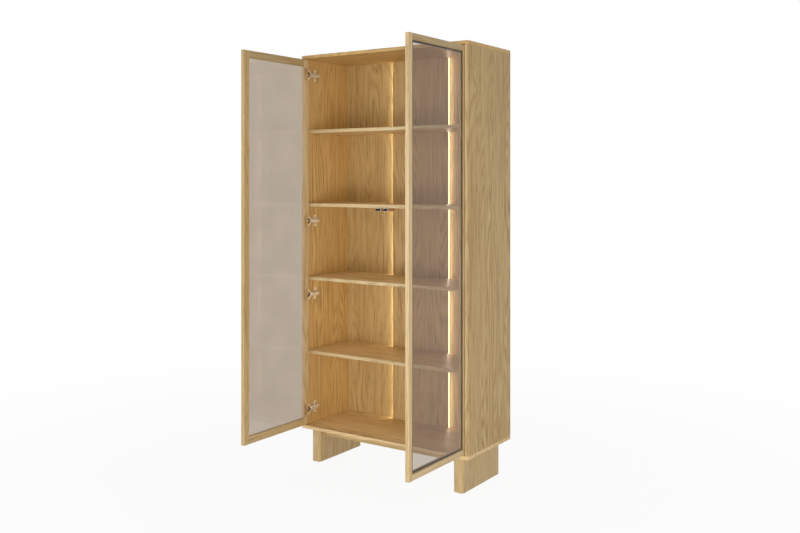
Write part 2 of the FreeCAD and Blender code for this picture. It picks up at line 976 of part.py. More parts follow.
def export_door(word, side):
    pieces = {
        "_door_hinge_stile": hinge_stile(),
        "_door_free_stile": free_stile(),
        "_door_top_rail": door_rail(door_top, -1),
        "_door_bottom_rail": door_rail(door_bottom, 1),
        "_door_glass": door_glass(),
        "_door_glass_seal": glass_seal(),
    }
    for name, piece in pieces.items():
        export(word + name, door_pose(piece, side))
    groups = {
        "_door_dowels": frame_dowels(),
        "_hinge_cups": [hinge_cup(height) for height in hinge_heights],
        "_hinge_pins": [hinge_pin(height) for height in hinge_heights],
        "_cup_screws": cup_screws(),
    }
    for name, solids in groups.items():
        export_group(word + name, [door_pose(solid, side) for solid in solids])


def main():
    os.makedirs("parts", exist_ok=True)
    export_cabinet()
    export_fittings()
    for word, side in SIDES.items():
        export_side(word, side)
        export_door(word, side)


main()
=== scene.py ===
import math
import random

import bpy
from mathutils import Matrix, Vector


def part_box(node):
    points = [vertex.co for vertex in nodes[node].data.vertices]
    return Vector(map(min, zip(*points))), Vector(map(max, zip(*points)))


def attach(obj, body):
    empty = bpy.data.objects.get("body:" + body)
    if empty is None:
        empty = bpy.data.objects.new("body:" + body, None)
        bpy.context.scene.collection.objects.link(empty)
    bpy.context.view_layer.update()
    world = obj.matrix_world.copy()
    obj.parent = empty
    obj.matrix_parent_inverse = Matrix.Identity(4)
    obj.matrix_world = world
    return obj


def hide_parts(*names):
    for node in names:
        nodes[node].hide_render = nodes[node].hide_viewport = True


# Display bookcase with two glass doors. Metres, in the CAD model's own frame:
# X across the front, Y into the depth, Z up, the floor at zero.

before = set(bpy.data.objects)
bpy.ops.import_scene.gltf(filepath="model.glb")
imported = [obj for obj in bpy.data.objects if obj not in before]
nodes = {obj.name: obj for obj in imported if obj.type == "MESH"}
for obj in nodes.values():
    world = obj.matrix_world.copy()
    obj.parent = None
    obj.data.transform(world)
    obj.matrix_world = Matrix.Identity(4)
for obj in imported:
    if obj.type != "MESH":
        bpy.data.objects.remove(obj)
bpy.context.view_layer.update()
bpy.ops.object.select_all(action="DESELECT")
scene = bpy.context.scene

WHITE = (1.0, 1.0, 1.0, 1.0)


# ---- colours and nodes ----
def linear(colour):
    """Turns an sRGB hex colour into linear red, green and blue, with full alpha."""
    parts = [int(colour[start:start + 2], 16) / 255 for start in (1, 3, 5)]
    return tuple(
        part / 12.92 if part <= 0.04045 else ((part + 0.055) / 1.055) ** 2.4 for part in parts
    ) + (1.0,)


def add(tree, kind, inputs=None, **settings):
    """Adds one node, gives it its settings, and fills or links its inputs."""
    node = tree.nodes.new(kind)
    for key, value in settings.items():
        setattr(node, key, value)
    for key, value in (inputs or {}).items():
        if isinstance(value, bpy.types.NodeSocket):
            tree.links.new(value, node.inputs[key])
        else:
            node.inputs[key].default_value = value
    return node


def set_stops(ramp, places, colours):
    """Gives a colour ramp its stops: their places from 0 to 1, and their hex colours."""
    elements = ramp.color_ramp.elements
    while len(elements) < len(places):
        elements.new(0.5)
    for element, place, colour in zip(elements, places, colours):
        element.position = place
        element.color = linear(colour)


def start_material(name, **sockets):
    """A material with one Principled shader; its uniform values sit on its own sockets."""
    material = bpy.data.materials.new(name)
    material.use_nodes = True
    tree = material.node_tree
    tree.nodes.clear()
    shader = add(tree, "ShaderNodeBsdfPrincipled", sockets)
    add(tree, "ShaderNodeOutputMaterial", {"Surface": shader.outputs["BSDF"]})
    return material, tree, shader


def dress(names, material):
    """Puts a material on every slot of the named CAD nodes."""
    for name in names:
        mesh = nodes[name].data
        mesh.materials.clear()
        mesh.materials.append(material)


def both(part):
    """The names of a part's left and right nodes."""
    return ["left_" + part, "right_" + part]


# ---- oak ----
# Oak veneer and solid oak under clear satin lacquer. Ring-porous wood: the growth rings
# show as nested arches of fine dark pores over honey-coloured wood, with silky straight
# streaks between them. Sizes are millimetres across, through and along the grain.
# Flat-cut arches are about 200 mm wide and over a metre tall, and bands of slow and fast
# growth 16 mm wide: real sizes. Rays and pores are really 0.1 to 0.3 mm wide and 5 to 30 mm
# long, too fine to show at this size, so the streaks are drawn 5 mm wide and the pores 2 mm.
OAK_LAYERS = {
    # layer: sizes, levels of finer detail
    "arches": ((210.0, 210.0, 1500.0), 2.0),
    "bands": ((16.0, 16.0, 900.0), 2.0),
    "streaks": ((5.2, 5.2, 300.0), 2.0),
    "pores": ((2.3, 2.3, 55.0), 1.0),
    "shades": ((320.0, 320.0, 1000.0), 1.0),
}
# Growth rings across a board: as many as the arches bend through, and as many per metre.
RINGS_PER_ARCH = 26.0
RINGS_PER_METRE = 34.0
# Levels of the pores layer at which a pore begins and at which it is full.
PORE_LEVELS = (0.52, 0.70)
# Metres into the grain within which a board's own piece of it begins.
GRAIN_REACH = (2.0, 30.0)
# Metres of grain from one leaf of sliced veneer to the next.
LEAF_JUMP = (1.37, 2.91, 5.23)
# How strongly bands and shades stand out, alike in every kind of board.
BAND_WEIGHT, SHADE_WEIGHT = 0.22, 0.28
# The arches are this much fainter or bolder than usual from place to place.
ARCH_SPREAD = (0.3, 1.7)
OAK_TONES = {
    # tone: how strongly arches, streaks and pores stand out; colours from dark to light
    "outer": ((0.16, 0.75, 0.30), ("#8F6E40", "#B19056", "#BFA16B", "#D0B785")),
    "inner": ((0.13, 0.60, 0.22), ("#967749", "#C0A066", "#CFB07B", "#DDC491")),
    # Painted light: a warmer copy of the inner tone, for the top panel and the left side panel,
    # which lays the strips' warm light into the wood's colour.
    "strip_warmed": ((0.14, 0.60, 0.22), ("#987445", "#C19B5B", "#D0AB6C", "#DDBF82")),
    # Painted light: a paler copy of the inner tone, for the shelves and the bottom panel, which
    # stands for light on their tops that the lamps don't give.
    "shelf": ((0.13, 0.60, 0.22), ("#A9895A", "#D5B57D", "#E4C594", "#EDD8AB")),
    "pale_solid": ((0.10, 0.55, 0.20), ("#A68557", "#C6A979", "#D3B98E", "#DFCAA3")),
    "deep_solid": ((0.10, 0.55, 0.20), ("#9C7C4B", "#BB9E6A", "#C8AD7E", "#D5BF93")),
    "dark_solid": ((0.10, 0.55, 0.20), ("#8F7145", "#AA8F60", "#B59D70", "#C0AC80")),
}
TONE_PLACES = (0.18, 0.42, 0.60, 0.85)
# Some veneered boards have their front edge covered by a lip of solid oak, a shade paler and
# this many millimetres thick.
LIP_THICKNESS = 1.0
LIP_COLOURS = ("#B49563", "#D5BA8A", "#E1CA9D", "#EAD9B2")


def lacquered_oak(name, axes, seed, tone, leaf, lip):
    """Oak whose axes name the board's width, thickness and length, the length along the grain.

    Leaf is the width of the veneer's leaves, or 0 for solid oak. Lip is the Y of the board's
    front edge where solid oak covers that edge, and otherwise None.
    """
    material, tree, shader = start_material(
        name, **{"Coat Weight": 0.12, "Coat Roughness": 0.3})
    place = add(tree, "ShaderNodeTexCoord")
    parts = add(tree, "ShaderNodeSeparateXYZ", {0: place.outputs["Object"]})
    across = parts.outputs[axes[0]]
    turned = add(tree, "ShaderNodeCombineXYZ", {
        "X": across, "Y": parts.outputs[axes[1]], "Z": parts.outputs[axes[2]]})
    draw = random.Random(seed)
    shift = [draw.uniform(*GRAIN_REACH) for _ in range(3)]
    grain = add(tree, "ShaderNodeVectorMath", {
        0: turned.outputs[0], 1: shift}, operation="ADD").outputs[0]
    if leaf:
        # Sliced veneer comes in leaves as wide as the log, laid side by side.
        leaves = add(tree, "ShaderNodeMath", {0: across, 1: leaf}, operation="DIVIDE")
        whole = add(tree, "ShaderNodeMath", {0: leaves.outputs[0]}, operation="FLOOR")
        jump = add(tree, "ShaderNodeVectorMath", {
            0: LEAF_JUMP, "Scale": whole.outputs[0]}, operation="SCALE")
        grain = add(tree, "ShaderNodeVectorMath", {
            0: grain, 1: jump.outputs[0]}, operation="ADD").outputs[0]

    layers = {}
    for layer, (sizes, detail) in OAK_LAYERS.items():
        stretched = add(tree, "ShaderNodeMapping", {
            "Vector": grain, "Scale": [1000.0 / size for size in sizes]})
        layers[layer] = add(tree, "ShaderNodeTexNoise", {
            "Vector": stretched.outputs[0], "Scale": 1.0, "Detail": detail,
            "Distortion": 0.2}).outputs["Fac"]

    # One number grows by one from each growth ring to the next. In each ring, early wood runs
    # into late wood and back, and the pores crowd in the early wood.
    steady = add(tree, "ShaderNodeMath", {
        0: across, 1: RINGS_PER_METRE}, operation="MULTIPLY")
    count = add(tree, "ShaderNodeMath", {
        0: layers["arches"], 1: RINGS_PER_ARCH, 2: steady.outputs[0]},
        operation="MULTIPLY_ADD")
    ring = add(tree, "ShaderNodeMath", {0: count.outputs[0], 1: 0.5}, operation="PINGPONG")
    late = add(tree, "ShaderNodeMapRange", {
        "Value": ring.outputs[0], "From Min": 0.0, "From Max": 0.5,
        "To Min": -0.6, "To Max": 0.4}, interpolation_type="SMOOTHSTEP").outputs[0]
    holes = add(tree, "ShaderNodeMapRange", {
        "Value": layers["pores"], "From Min": PORE_LEVELS[0], "From Max": PORE_LEVELS[1]})
    early = add(tree, "ShaderNodeMath", {0: 0.55, 1: late}, operation="SUBTRACT")
    pores = add(tree, "ShaderNodeMath", {
        0: holes.outputs[0], 1: early.outputs[0]}, operation="MULTIPLY")
    # The arches stand out in some places and fade into plain streaks in others.
    (figure, streaks, flecks), colours = OAK_TONES[tone]
    strength = add(tree, "ShaderNodeMapRange", {
        "Value": layers["shades"], "From Min": 0.35, "From Max": 0.65,
        "To Min": ARCH_SPREAD[0] * figure, "To Max": ARCH_SPREAD[1] * figure})

    total = add(tree, "ShaderNodeMath", {
        0: late, 1: strength.outputs[0], 2: 0.5}, operation="MULTIPLY_ADD")
    for layer, weight in (
        ("bands", BAND_WEIGHT), ("streaks", streaks), ("shades", SHADE_WEIGHT),
    ):
        level = add(tree, "ShaderNodeMath", {0: layers[layer], 1: 0.5}, operation="SUBTRACT")
        total = add(tree, "ShaderNodeMath", {
            0: level.outputs[0], 1: weight, 2: total.outputs[0]}, operation="MULTIPLY_ADD")
    total = add(tree, "ShaderNodeMath", {
        0: pores.outputs[0], 1: -flecks, 2: total.outputs[0]},
        operation="MULTIPLY_ADD").outputs[0]
    ramp = add(tree, "ShaderNodeValToRGB", {"Fac": total})
    set_stops(ramp, TONE_PLACES, colours)
    colour = ramp.outputs["Color"]
    if lip is not None:
        edge = add(tree, "ShaderNodeMath", {
            0: parts.outputs["Y"], 1: lip + LIP_THICKNESS / 1000.0}, operation="LESS_THAN")
        pale = add(tree, "ShaderNodeValToRGB", {"Fac": total})
        set_stops(pale, TONE_PLACES, LIP_COLOURS)
        colour = add(tree, "ShaderNodeMix", {
            "Factor": edge.outputs[0], 6: colour, 7: pale.outputs["Color"]},
            data_type="RGBA").outputs[2]
    tree.links.new(colour, shader.inputs["Base Color"])
    rough = add(tree, "ShaderNodeMapRange", {
        "Value": total, "From Min": 0.2, "From Max": 0.8, "To Min": 0.55, "To Max": 0.42})
    tree.links.new(rough.outputs[0], shader.inputs["Roughness"])
    relief = add(tree, "ShaderNodeBump", {
        "Height": total, "Strength": 0.25, "Distance": 0.0004})
    tree.links.new(relief.outputs["Normal"], shader.inputs["Normal"])
    return material


BOARDS = {
    # node: axes, seed, tone, leaf width
    "top_panel": ("YZX", 11, "strip_warmed", 0.21),
    "bottom_panel": ("YZX", 12, "shelf", 0.21),
    "left_side_panel": ("YXZ", 13, "strip_warmed", 0.19),
    # Painted light: the right side panel's seed is one whose wide shades run paler towards the
    # bottom, brighter low down.
    "right_side_panel": ("YXZ", 104, "outer", 0.19),
    "back_panel": ("XYZ", 15, "inner", 0.17),
    "centre_back_board": ("XYZ", 16, "inner", 0.16),
    "shelf_1": ("YZX", 21, "shelf", 0.18),
    "shelf_2": ("YZX", 22, "shelf", 0.18),
    "shelf_3": ("YZX", 23, "shelf", 0.18),
    "shelf_4": ("YZX", 24, "shelf", 0.18),
    "left_door_hinge_stile": ("YXZ", 31, "pale_solid", 0.0),
    "left_door_free_stile": ("YXZ", 32, "deep_solid", 0.0),
    "right_door_hinge_stile": ("YXZ", 33, "pale_solid", 0.0),
    "right_door_free_stile": ("YXZ", 34, "pale_solid", 0.0),
    "left_door_top_rail": ("ZXY", 35, "dark_solid", 0.0),
    "left_door_bottom_rail": ("ZXY", 36, "deep_solid", 0.0),
    "right_door_top_rail": ("ZXY", 37, "dark_solid", 0.0),
    "right_door_bottom_rail": ("ZXY", 38, "pale_solid", 0.0),
    "left_foot": ("YXZ", 41, "deep_solid", 0.0),
    "right_foot": ("YXZ", 42, "deep_solid", 0.0),
    "front_foot_rail": ("ZYX", 43, "deep_solid", 0.0),
    "rear_foot_rail": ("ZYX", 44, "deep_solid", 0.0),
}
LIPPED = ("right_side_panel", "shelf_1", "shelf_2", "shelf_3", "shelf_4")
for node, (axes, seed, tone, leaf) in BOARDS.items():
    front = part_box(node)[0][1] if node in LIPPED else None
    dress([node], lacquered_oak("lacquered_oak_" + node, axes, seed, tone, leaf, front))


# ---- glass ----
# A noise seldom leaves these levels.
NOISE_LEVELS = (0.3, 0.7)
# Millimetres of a pane over which its tint drifts by a shade or so.
TINT_DRIFT = 140.0


def bronze_glass(name, tints):
    """Float glass tinted in the melt: clear and smooth, a warm grey-brown when looked through.

    Its IOR is a little under window glass's 1.5, so that the white studio veils less of what
    stands behind the pane.
    """
    material, tree, shader = start_material(name, **{
        "IOR": 1.4, "Transmission Weight": 1.0, "Roughness": 0.0})
    place = add(tree, "ShaderNodeTexCoord")
    drift = add(tree, "ShaderNodeTexNoise", {
        "Vector": place.outputs["Object"], "Scale": 1000.0 / TINT_DRIFT, "Detail": 0.0})
    ramp = add(tree, "ShaderNodeValToRGB", {"Fac": drift.outputs["Fac"]})
    set_stops(ramp, NOISE_LEVELS, tints)
    tree.links.new(ramp.outputs["Color"], shader.inputs["Base Color"])
    return material


# Both panes are the same glass, but the right one is a shade lighter: painted light, for the
# brighter look through that pane.
dress(["left_door_glass"], bronze_glass("bronze_float_glass_left", ("#B6A99A", "#BAAD9E")))
dress(["right_door_glass"], bronze_glass("bronze_float_glass_right", ("#C0B5A7", "#C4B9AB")))


# ---- plain made finishes ----
def speckled(name, colours, grain, bump, depth, rough, stretch=(1.0, 1.0, 1.0), recess=0.0,
             **sockets):
    """A finish whose colour, gloss and relief vary by a fine noise.

    Grain is the noise's size in millimetres, bump and depth the relief's strength and its
    height in metres, and rough the least and most roughness. With a recess, in millimetres,
    folds and corners closer than it are painted darker: painted shade, where less light reaches.
    """
    material, tree, shader = start_material(name, **sockets)
    place = add(tree, "ShaderNodeTexCoord")
    sized = add(tree, "ShaderNodeMapping", {
        "Vector": place.outputs["Object"], "Scale": stretch})
    noise = add(tree, "ShaderNodeTexNoise", {
        "Vector": sized.outputs[0], "Scale": 1000.0 / grain, "Detail": 2.0})
    ramp = add(tree, "ShaderNodeValToRGB", {"Fac": noise.outputs["Fac"]})
    set_stops(ramp, NOISE_LEVELS, colours)
    colour = ramp.outputs["Color"]
    # Painted shade: with a recess, the colour is darkened where ambient occlusion finds folds and
    # corners.
    if recess:
        near = add(tree, "ShaderNodeAmbientOcclusion", {"Distance": recess / 1000.0}, samples=8)
        painted_shade = add(tree, "ShaderNodeValToRGB", {"Fac": near.outputs["AO"]})
        set_stops(painted_shade, (0.25, 0.75), ("#2E2116", "#FFFFFF"))
        colour = add(tree, "ShaderNodeMix", {
            "Factor": 1.0, 6: colour, 7: painted_shade.outputs["Color"]},
            data_type="RGBA", blend_type="MULTIPLY").outputs[2]
    tree.links.new(colour, shader.inputs["Base Color"])
    gloss = add(tree, "ShaderNodeMapRange", {
        "Value": noise.outputs["Fac"], "From Min": NOISE_LEVELS[0], "From Max": NOISE_LEVELS[1],
        "To Min": rough[0], "To Max": rough[1]})
    tree.links.new(gloss.outputs[0], shader.inputs["Roughness"])
    relief = add(tree, "ShaderNodeBump", {
        "Height": noise.outputs["Fac"], "Strength": bump, "Distance": depth})
    tree.links.new(relief.outputs["Normal"], shader.inputs["Normal"])
    return material


# Extruded rubber, brown to match the wood: matt, with a soft powdery skin.
rubber = speckled(
    "extruded_seal_rubber", ("#A08456", "#AE9264"),
    grain=2.0, bump=0.3, depth=0.0002, rough=(0.7, 0.85))
# Nickel plate over stamped steel: warm silver, with faint rolling lines and painted shade in its
# folds. The stamping leaves the plate satin, so it scatters part of the light and isn't all
# mirror.
nickel = speckled(
    "nickel_plated_stamped_steel", ("#EFE6D6", "#FAF3E6"),
    grain=4.0, bump=0.15, depth=0.0001, rough=(0.35, 0.48),
    stretch=(1.0, 1.0, 0.25), recess=6.0, Metallic=0.6)
# The flanges on the doors and the shelf pegs are the same plate, painted a warm brass tone:
# painted reflection of the warm interior, with painted shade in its folds.
warm_painted_nickel = speckled(
    "nickel_plate_painted_warm", ("#B99D6E", "#C8AC7C"),
    grain=4.0, bump=0.15, depth=0.0001, rough=(0.38, 0.5),
    stretch=(1.0, 1.0, 0.25), recess=8.0, Metallic=0.6)
# Zinc plate on turned steel: cooler than nickel and a little duller, with painted shade in its
# recesses.
zinc = speckled(
    "zinc_plated_screw_steel", ("#B9BBBD", "#CDCFD0"),
    grain=2.0, bump=0.15, depth=0.0001, rough=(0.28, 0.42), recess=2.0, Metallic=1.0)
# Anodised extruded aluminium: satin, with fine lines drawn along its length.
anodised = speckled(
    "anodised_aluminium", ("#C2C3C4", "#CFD0D1"),
    grain=1.5, bump=0.2, depth=0.0001, rough=(0.35, 0.45),
    stretch=(1.0, 1.0, 0.02), Metallic=1.0)
# Flexible circuit tape: white solder resist, slightly glossy.
resist = speckled(
    "white_circuit_tape", ("#E9E4D2", "#F3EFE2"),
    grain=4.0, bump=0.1, depth=0.0001, rough=(0.35, 0.45))
# Moulded ABS: off-white, with a fine spark-eroded skin.
abs_white = speckled(
    "moulded_white_abs", ("#E2E1DD", "#EAE9E6"),
    grain=1.2, bump=0.35, depth=0.0002, rough=(0.45, 0.55))
# PVC sheath: smooth, softly shining.
sheath = speckled(
    "white_pvc_sheath", ("#E4E3DF", "#ECEBE7"),
    grain=4.0, bump=0.1, depth=0.0001, rough=(0.35, 0.45))
# Nylon glide: brown, waxy.
nylon = speckled(
    "brown_nylon", ("#57422D", "#664E37"),
    grain=3.0, bump=0.2, depth=0.0002, rough=(0.4, 0.55))
# Moulded ABS in a wood brown for the latch bodies, and black acetal, waxy, for what slides
# and for the plates around the latch mouths.
abs_brown = speckled(
    "moulded_brown_abs", ("#BC9662", "#C9A26D"),
    grain=1.5, bump=0.25, depth=0.0001, rough=(0.45, 0.55))
acetal_black = speckled(
    "black_moulded_acetal", ("#0C0806", "#160F0B"),
    grain=1.5, bump=0.25, depth=0.0001, rough=(0.5, 0.62), **{"Specular IOR Level": 0.25})
# The same acetal in dark brown, for the discs behind the hinge forks: painted shade, dark pieces
# standing for the shade in each fork's hollow.
shade_acetal_brown = speckled(
    "dark_brown_acetal_painted_shade", ("#2B1C10", "#3A2819"),
    grain=1.5, bump=0.25, depth=0.0001, rough=(0.5, 0.62), **{"Specular IOR Level": 0.25})
# Turned beech: pale pinkish wood with short flecks along the dowel.
beech = speckled(
    "turned_beech", ("#CDAE83", "#DEC39B"),
    grain=1.2, bump=0.3, depth=0.0001, rough=(0.55, 0.7), stretch=(1.0, 1.0, 0.2))

dress(both("door_glass_seal"), rubber)
dress(both("hinge_plates") + both("hinge_pins"), nickel)
dress(both("hinge_cups") + ["shelf_pins"], warm_painted_nickel)
dress(["latch_screws"], zinc)
dress(both("light_channel"), anodised)
dress(both("light_tape"), resist)
dress(["light_leads"], sheath)
dress(["floor_glides"], nylon)
dress(["latch_housings"], abs_brown)
dress(both("latch_plunger"), acetal_black)
dress(["carcass_dowels", "foot_dowels", "rail_dowels"] + both("door_dowels"), beech)

# Millimetres between the diodes on the tape.
DIODE_PITCH = 8.0


def lit_cover():
    """Opal acrylic lit from behind: a warm white glow, faintly brighter before each diode."""
    material, tree, shader = start_material("opal_acrylic_lit", **{
        "Base Color": linear("#F7EFDD"), "Roughness": 0.4, "Emission Strength": 4.0})
    place = add(tree, "ShaderNodeTexCoord")
    # A wave texture repeats every 2 pi / 20 of its scale.
    beat = add(tree, "ShaderNodeTexWave", {
        "Vector": place.outputs["Object"],
        "Scale": 2.0 * math.pi / 20.0 * 1000.0 / DIODE_PITCH}, bands_direction="Z")
    ramp = add(tree, "ShaderNodeValToRGB", {"Fac": beat.outputs["Fac"]})
    set_stops(ramp, (0.0, 1.0), ("#FFF3CE", "#FFF7DC"))
    tree.links.new(ramp.outputs["Color"], shader.inputs["Emission Color"])
    return material


dress(both("light_diffuser"), lit_cover())


# ---- modelling tools ----
RIGHT = (1.0, 0.0, 0.0)
REARWARD = (0.0, 1.0, 0.0)


def choose(piece):
    """Selects one object alone and makes it the active one."""
    bpy.ops.object.select_all(action="DESELECT")
    piece.select_set(True)
    bpy.context.view_layer.objects.active = piece


def apply_place(piece):
    """Puts an object's place, turn and size into its mesh."""
    choose(piece)
    bpy.ops.object.transform_apply(location=True, rotation=True, scale=True)


def block(low, high):
    """A block between two corners."""
    bpy.ops.mesh.primitive_cube_add(
        size=1.0, location=[(a + b) / 2 for a, b in zip(low, high)])
    piece = bpy.context.object
    piece.scale = [b - a for a, b in zip(low, high)]
    apply_place(piece)
    return piece


def rod(radius, start, along, sides=24):
    """A round bar from a point, along a vector."""
    along = Vector(along)
    bpy.ops.mesh.primitive_cylinder_add(
        vertices=sides, radius=radius, depth=along.length, location=Vector(start) + along / 2,
        rotation=along.to_track_quat("Z", "Y").to_euler())
    piece = bpy.context.object
    apply_place(piece)
    return piece


def shape(piece, kind, **settings):
    """Puts one modifier on a piece and applies it."""
    choose(piece)
    modifier = piece.modifiers.new(kind.lower(), kind)
    for key, value in settings.items():
        setattr(modifier, key, value)
    bpy.ops.object.modifier_apply(modifier=modifier.name)
    return piece


def soften(piece, width):
    """Rounds every sharp edge of a piece."""
    return shape(
        piece, "BEVEL", width=width, segments=2, limit_method="ANGLE",
        angle_limit=math.radians(40.0))


def combine(piece, operation, *tools):
    """Unites a piece with tools, or takes them out of it, and deletes them."""
    for tool in tools:
        shape(piece, "BOOLEAN", operation=operation, object=tool, solver="EXACT")
        bpy.data.objects.remove(tool)
    return piece


def pick(piece, chosen):
    """Enters edit mode with only the faces selected that the rule accepts by middle and normal."""
    choose(piece)
    bpy.ops.object.mode_set(mode="EDIT")
    bpy.ops.mesh.select_mode(type="FACE")
    bpy.ops.mesh.select_all(action="DESELECT")
    bpy.ops.object.mode_set(mode="OBJECT")
    for face in piece.data.polygons:
        face.select = chosen(face.center, face.normal)
    bpy.ops.object.mode_set(mode="EDIT")


def join(pieces):
    """Makes one object of several."""
    choose(pieces[0])
    for piece in pieces:
        piece.select_set(True)
    bpy.ops.object.join()
    return bpy.context.object


def repeat(piece, places):
    """One object with a copy of the piece, each with its own mesh, moved by each place."""
    copies = []
    for place in places:
        copy = piece.copy()
        copy.data = piece.data.copy()
        scene.collection.objects.link(copy)
        copy.location = place
        copies.append(copy)
    bpy.data.objects.remove(piece)
    joined = join(copies)
    apply_place(joined)
    return joined


def mirrored(piece):
    """The same piece for the other side of the cabinet."""
    copy = piece.copy()
    copy.data = piece.data.copy()
    scene.collection.objects.link(copy)
    copy.scale.x = -1.0
    apply_place(copy)
    bpy.ops.object.mode_set(mode="EDIT")
    bpy.ops.mesh.select_all(action="SELECT")
    bpy.ops.mesh.remove_doubles(threshold=0.000001)
    bpy.ops.mesh.normals_make_consistent(inside=False)
    bpy.ops.object.mode_set(mode="OBJECT")
    return copy


def fit(piece, name, body, slot, material, *stands_for):
    """Names a finished piece, gives it its finish and fixes it to the body that carries it."""
    choose(piece)
    bpy.ops.object.shade_smooth_by_angle(angle=math.radians(35.0))
    piece.name = name
    piece.data.materials.clear()
    piece.data.materials.append(material)
    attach(piece, body)
    if stands_for:
        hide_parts(*stands_for)


# ---- where the fittings stand ----
HINGE_HEIGHTS = (0.256, 0.8216, 1.1854, 1.909)
# The pin of a left hinge.
PIN_X, PIN_Y = -0.4485, 0.02725
# X of the faces that a left hinge's pieces stand on: the side panel, the plate on it, the arm
# on the plate, and the flange on the open door.
PANEL_FACE, PLATE_FACE, ARM_FACE, FLANGE_FACE = -0.459, -0.4555, -0.4455, -0.4368
# Y of the back panel's rear face, and the height of the light box's socket on it.
PANEL_REAR = 0.38775
SOCKET_Z = 1.903
LATCH_MOUTHS = [(x, 1.2489) for x in (-0.02, 0.02)]


# ---- screws ----
SCREW_SIZES = {
    # kind: head radius, head height, shank radius, shank length
    "flange": (0.0035, 0.0016, 0.0015, 0.009),
    "plate": (0.004, 0.002, 0.002, 0.014),
    "adjusting": (0.003, 0.0015, 0.0015, 0.01175),
    "light_box": (0.0035, 0.00175, 0.00175, 0.009),
    "back_board": (0.0035, 0.00175, 0.00175, 0.01425),
}
# A domed head narrows in steps: in by a share of its radius, up by a share of its height.
DOME_STEPS = ((0.18, 0.35), (0.25, 0.15))


def cross_screw(kind, axis, sunk=False):
    """A screw at the origin, its head along the axis, with a cross recess for the driver.

    The head is domed, or sunk flush.
    """
    radius, height, shank_radius, shank_length = SCREW_SIZES[kind]
    screw = rod(radius, (0.0, 0.0, 0.0), (0.0, 0.0, height if sunk else height / 2))
    if not sunk:
        pick(screw, lambda middle, normal: normal.z > 0.9)
        for inset, lift in DOME_STEPS:
            bpy.ops.mesh.inset(thickness=inset * radius)
            bpy.ops.transform.translate(value=(0.0, 0.0, lift * height))
        bpy.ops.object.mode_set(mode="OBJECT")
    pick(screw, lambda middle, normal: normal.z < -0.9)
    if sunk:
        bpy.ops.transform.resize(
            value=[shank_radius / radius] * 2 + [1.0], center_override=(0.0, 0.0, 0.0))
    else:
        bpy.ops.mesh.inset(thickness=radius - shank_radius)
    bpy.ops.mesh.extrude_region_move(TRANSFORM_OT_translate={"value": (0.0, 0.0, -shank_length)})
    bpy.ops.object.mode_set(mode="OBJECT")
    # Half an arm's length and width, and the depth of the recess.
    arm, half, depth = 0.55 * radius, 0.13 * radius, 0.7 * height
    floor_z, above = height - depth, height + 0.001
    combine(
        screw, "DIFFERENCE",
        block((-arm, -half, floor_z), (arm, half, above)),
        block((-half, -arm, floor_z), (half, arm, above)))
    screw.rotation_euler = Vector(axis).to_track_quat("Z", "Y").to_euler()
    apply_place(screw)
    return screw


flange_screws = repeat(
    cross_screw("flange", RIGHT),
    [(FLANGE_FACE, 0.00925, z + up) for z in HINGE_HEIGHTS for up in (-0.024, 0.024)])
fit(mirrored(flange_screws), "right_hinge_cup_cross_screws",
    "right_door", "screws", zinc, "right_cup_screws")
fit(flange_screws, "left_hinge_cup_cross_screws",
    "left_door", "screws", zinc, "left_cup_screws")

for kind, places, name, node in (
    ("plate", [(PLATE_FACE, 0.10775, z + up) for z in HINGE_HEIGHTS for up in (-0.016, 0.016)],
     "hinge_plate_cross_screws", "hinge_plate_screws"),
    ("adjusting", [(ARM_FACE, y, z) for z in HINGE_HEIGHTS for y in (0.09475, 0.11875)],
     "hinge_adjusting_screws", "hinge_arm_screws"),
):
    left = repeat(cross_screw(kind, RIGHT), places)
    fit(join([left, mirrored(left)]), name, "cabinet", "screws", zinc, node)

fit(repeat(cross_screw("light_box", REARWARD), [(x, 0.39075, 1.89) for x in (-0.086, 0.086)]),
    "light_box_cross_screws", "cabinet", "screws", zinc, "light_driver_screws")
fit(repeat(cross_screw("back_board", REARWARD, sunk=True),
           [(x, 0.386, z) for x in (-0.112, 0.112) for z in (0.406, 0.857, 1.308, 1.759)]),
    "back_board_sunk_screws", "cabinet", "screws", zinc, "centre_board_screws")


# ---- hinges ----
def oblong(radius, start_x, middle_y, stretch):
    """A cutter for a long rounded hole at height zero, 20 mm along X."""
    cutter = rod(radius, (start_x, 0.0, 0.0), (0.02, 0.0, 0.0))
    cutter.scale.y = stretch
    cutter.location.y = middle_y
    apply_place(cutter)
    return cutter


